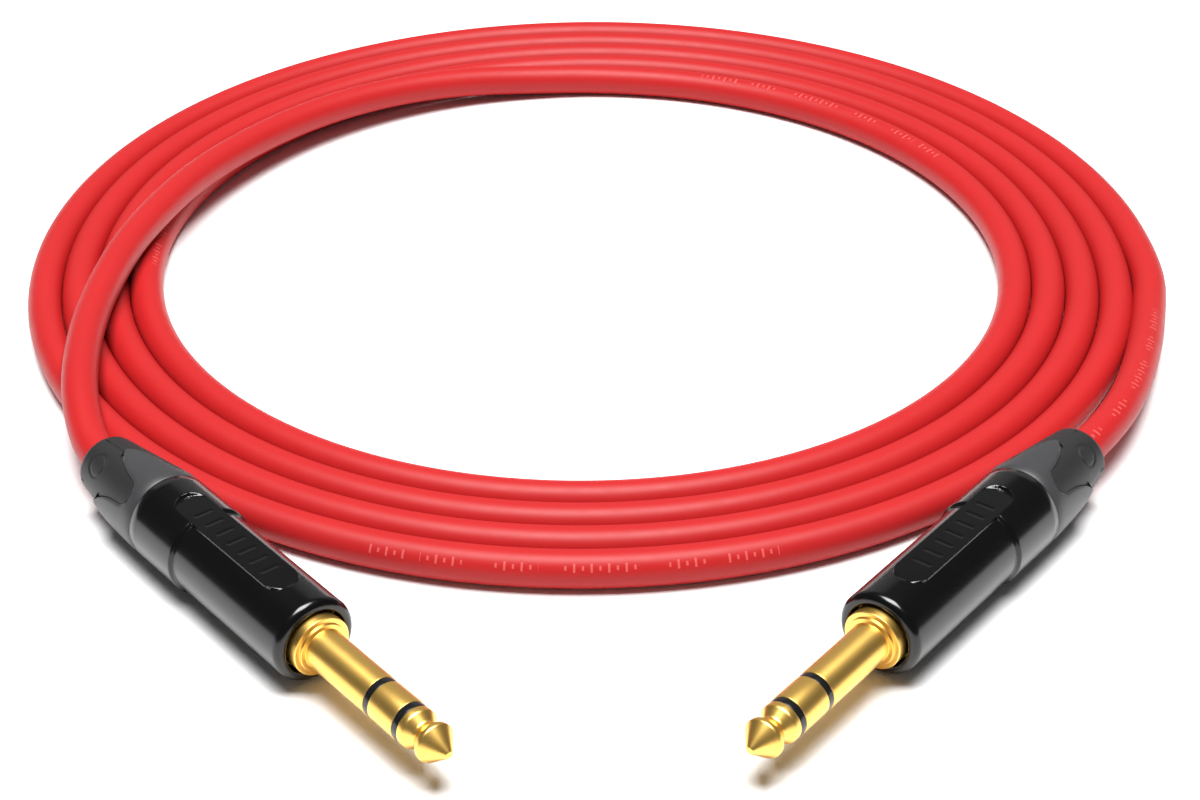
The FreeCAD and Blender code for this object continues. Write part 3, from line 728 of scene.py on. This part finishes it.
def boot_shell_rows(place, clock, rim):
    """Bushing: thread sleeve, ring and petals outside; bore and cone inside."""
    start = place.span("boot_shell")[0]
    seam = place.span("housing")[1] + 0.1 * MM
    nose = place.span("boot_grip")[0]
    reach = 9.2 * MM
    core, ring = 5.3 * MM, 7.2 * MM

    def petal(station, angle, middle):
        return ring - 0.038 * (station - nose)

    def level(radius):
        return lambda station, angle, middle: radius

    def plain(station, radius):
        return sector_row(place, clock, station, level(radius), level(radius), 0.0, 0.0, columns)

    columns = (12, 20)
    rows = [plain(x, y) for x, y in (
        (start, 4.98 * MM), (start, 6.22 * MM), (seam, 6.22 * MM), (seam, ring - 0.25 * MM),
        (seam + 0.08 * MM, ring - 0.09 * MM), (seam + 0.25 * MM, ring),
        (nose - 0.6 * MM, ring), (nose, ring))]
    for station in boot_stations(nose, reach)[1:]:
        opening = tongue_angle(station, nose, ring)
        rows.append(sector_row(place, clock, station, level(core), petal, opening, rim, columns))
    last = nose + reach
    rows += [plain(x, y) for x, y in ((last, core), (last, 3.6 * MM), (start + 4.3 * MM, 3.6 * MM),
                                      (start + 4.3 * MM, 4.3 * MM))]
    return rows


def ring_mark(station, angle, middle, clock):
    """Plain engraved circle on the tongue that faces up and the one opposite."""
    quarter = round((middle - clock) / (math.pi / 2)) % 2
    if quarter:
        return 0.0
    away = math.hypot(station - 86.4 * MM, 6.1 * MM * angle)
    return 0.13 * MM * smooth(1.5 - abs(away - 2.0 * MM) / (0.22 * MM))


def boot_grip_rows(place, clock, rim):
    """Over-moulding: four tongues that join into a sleeve tapering to the cable."""
    nose, end = place.span("boot_grip")
    reach = 9.2 * MM
    core = 5.3 * MM
    shoulder = nose + reach
    mouth = [(end - 1.0 * MM, 5.16 * MM), (end - 0.55 * MM, 5.06 * MM), (end - 0.2 * MM, 4.84 * MM),
             (end - 0.03 * MM, 4.55 * MM), (end, 4.3 * MM), (end - 0.25 * MM, 4.05 * MM),
             (end - 1.0 * MM, 3.75 * MM), (end - 2.6 * MM, 3.5 * MM), (shoulder + 0.1 * MM, 3.5 * MM),
             (shoulder + 0.1 * MM, core), (nose, core)]

    def tongue(station, angle, middle):
        return 7.18 * MM - 0.127 * (station - nose) - ring_mark(station, angle, middle, clock)

    def floor(station, angle, middle):
        return core + 0.01 * MM

    def plain(station, radius):
        def level(*_):
            return radius
        return sector_row(place, clock, station, level, level, math.pi / 4, 0.0, columns)

    columns = (44, 6)
    rows = []
    for station in boot_stations(nose, reach):
        opening = tongue_angle(station, nose, 7.2 * MM)
        rows.append(sector_row(place, clock, station, tongue, floor, opening, rim, columns))
    steps = 36
    for i in range(steps + 1):
        station = shoulder + (end - 1.2 * MM - shoulder) * i / steps
        rows.append(sector_row(place, clock, station, tongue, floor, math.pi / 4, 0.0, columns))
    rows += [plain(x, y) for x, y in mouth]
    return rows


class CABLE_OT_boots(bpy.types.Operator):
    """Make both boots: the moulded shell with its petals and the soft grip between them"""

    bl_idname = "instrument_cable.boots"
    bl_label = "Boots"

    def execute(self, context):
        looks = context.scene.finishes
        rim = context.scene.plug_sizes.groove
        moulded = plain_finish("boot_moulded", looks.boot, 0.42, 2200.0, 0.12)
        soft = plain_finish("grip_soft", looks.grip, 0.55, 1800.0, 0.20)
        for side, clock in (("left", 45.5), ("right", -42.0)):
            place = PlugPlace(side)
            shell = skin(side + "_boot_petals", boot_shell_rows(place, math.radians(clock), rim))
            stand_for(shell, side + "_boot", moulded, "boot_shell", side + "_boot_shell")
            grip = skin(side + "_boot_tongues", boot_grip_rows(place, math.radians(clock), rim))
            stand_for(grip, side + "_boot", soft, "boot_grip", side + "_boot_grip")
        return {"FINISHED"}


# ---- what is inside the housings ----

class CABLE_OT_insides(bpy.types.Operator):
    """Finish the solids inside both plugs"""

    bl_idname = "instrument_cable.insides"
    bl_label = "Inside"

    def execute(self, context):
        looks = context.scene.finishes
        finishes = {
            "contact_carrier": plain_finish("carrier_moulded", (0.03, 0.03, 0.032), 0.5),
            "liner": plain_finish("liner_sheet", (0.22, 0.22, 0.24), 0.35, 900.0),
            "chuck": plain_finish("chuck_moulded", (0.05, 0.05, 0.052), 0.45),
            "tip_terminal": plain_finish("tinned_tag", (0.66, 0.64, 0.60), 0.28, 1200.0, 0.1, 1.0),
            "solder_joints": plain_finish("solder_bright", (0.60, 0.61, 0.62), 0.22, 600.0, 0.25, 1.0),
            "tip_conductors": plain_finish("wire_white", (0.75, 0.75, 0.72), 0.4),
            "ring_conductors": plain_finish("wire_red", (0.45, 0.02, 0.02), 0.4),
            "shield_pigtail": plain_finish("copper_strands", (0.70, 0.30, 0.16), 0.3, 3000.0, 0.5, 1.0),
            "cable_end": jacket_finish(looks, printed=False),
        }
        finishes["ring_terminal"] = finishes["tip_terminal"]
        finishes["ground_terminal"] = finishes["tip_terminal"]
        for side in SIDES:
            for name, finish in finishes.items():
                data = frame["nodes"]["%s_%s" % (side, name)].data
                data.materials.clear()
                data.materials.append(finish)
        return {"FINISHED"}


# ---- the stage ----

def floor_finish(look):
    """Matt white paper with hardly any grain."""
    finish = Finish("floor_paper")
    place = finish.place()
    tone = finish.mixed(finish.noise(place, 8.0), look.floor, [c * 0.99 for c in look.floor])
    grain = finish.bump(finish.noise(place, 900.0), 0.02, 0.0001)
    return finish.surface(Base_Color=tone, Roughness=0.9, Normal=grain)


def add_floor(look):
    mesh = bmesh.new()
    bmesh.ops.create_grid(mesh, x_segments=8, y_segments=8, size=3.0)
    data = bpy.data.meshes.new("floor")
    mesh.to_mesh(data)
    mesh.free()
    data.materials.append(floor_finish(look))
    floor = bpy.data.objects.new("floor", data)
    floor.location = (0, 0, -0.05 * MM)
    bpy.context.scene.collection.objects.link(floor)


def add_softbox(name, place, aim, width, height, power):
    lamp = bpy.data.lights.new(name, "AREA")
    lamp.shape = "RECTANGLE"
    lamp.size = width
    lamp.size_y = height
    lamp.energy = power
    box = bpy.data.objects.new(name, lamp)
    box.location = place
    box.rotation_euler = (Vector(aim) - Vector(place)).to_track_quat("-Z", "Y").to_euler()
    bpy.context.scene.collection.objects.link(box)


def add_camera():
    lens = bpy.data.cameras.new("camera")
    lens.lens = 67.1
    lens.clip_start = 0.01
    camera = bpy.data.objects.new("camera", lens)
    camera.location = (0.00096, -0.26455, 0.20933)
    camera.rotation_euler = (math.radians(90 - 32.615), 0, 0)
    bpy.context.scene.collection.objects.link(camera)
    bpy.context.scene.camera = camera


class CABLE_OT_stage(bpy.types.Operator):
    """Set up the pale floor, the soft light and the camera"""

    bl_idname = "instrument_cable.stage"
    bl_label = "Stage"

    def execute(self, context):
        look = context.scene.stage_look
        add_camera()
        add_floor(look)
        add_softbox("softbox_overhead", (0.0, 0.02, 1.0), (0.0, 0.08, 0.0), 0.7, 0.55, look.overhead)
        add_softbox("softbox_back", (0.0, 1.3, 0.45), (0.0, 0.1, 0.02), 2.0, 0.8, look.back)
        world = bpy.data.worlds.new("studio")
        world.use_nodes = True
        background = world.node_tree.nodes["Background"]
        background.inputs["Color"].default_value = (1.0, 1.0, 1.0, 1.0)
        background.inputs["Strength"].default_value = 0.11
        context.scene.world = world
        context.scene.view_settings.view_transform = "Standard"
        return {"FINISHED"}


class CABLE_PT_panel(bpy.types.Panel):
    """Sidebar panel with the sizes, the finishes and a button for each piece"""

    bl_idname = "CABLE_PT_panel"
    bl_label = "Instrument Cable"
    bl_space_type = "VIEW_3D"
    bl_region_type = "UI"
    bl_category = "Cable"

    def draw(self, context):
        for group in (context.scene.cable_sizes, context.scene.plug_sizes, context.scene.finishes,
                      context.scene.stage_look):
            box = self.layout.box()
            for name in group.__annotations__:
                box.prop(group, name)
        for operator in OPERATORS:
            self.layout.operator(operator.bl_idname)


GROUPS = {"cable_sizes": CableSizes, "plug_sizes": PlugSizes, "finishes": Finishes, "stage_look": StageLook}
OPERATORS = (CABLE_OT_stage, CABLE_OT_jacket, CABLE_OT_fingers, CABLE_OT_housings, CABLE_OT_boots,
             CABLE_OT_insides)


def register():
    for name, group in GROUPS.items():
        bpy.utils.register_class(group)
        setattr(bpy.types.Scene, name, PointerProperty(type=group))
    for operator in OPERATORS:
        bpy.utils.register_class(operator)
    bpy.utils.register_class(CABLE_PT_panel)


def unregister():
    bpy.utils.unregister_class(CABLE_PT_panel)
    for operator in reversed(OPERATORS):
        bpy.utils.unregister_class(operator)
    for name, group in GROUPS.items():
        delattr(bpy.types.Scene, name)
        bpy.utils.unregister_class(group)


def main():
    register()
    bpy.ops.instrument_cable.stage()
    bpy.ops.instrument_cable.jacket()
    bpy.ops.instrument_cable.fingers()
    bpy.ops.instrument_cable.housings()
    bpy.ops.instrument_cable.boots()
    bpy.ops.instrument_cable.insides()
    bpy.context.view_layer.update()


if __name__ == "__main__":
    main()
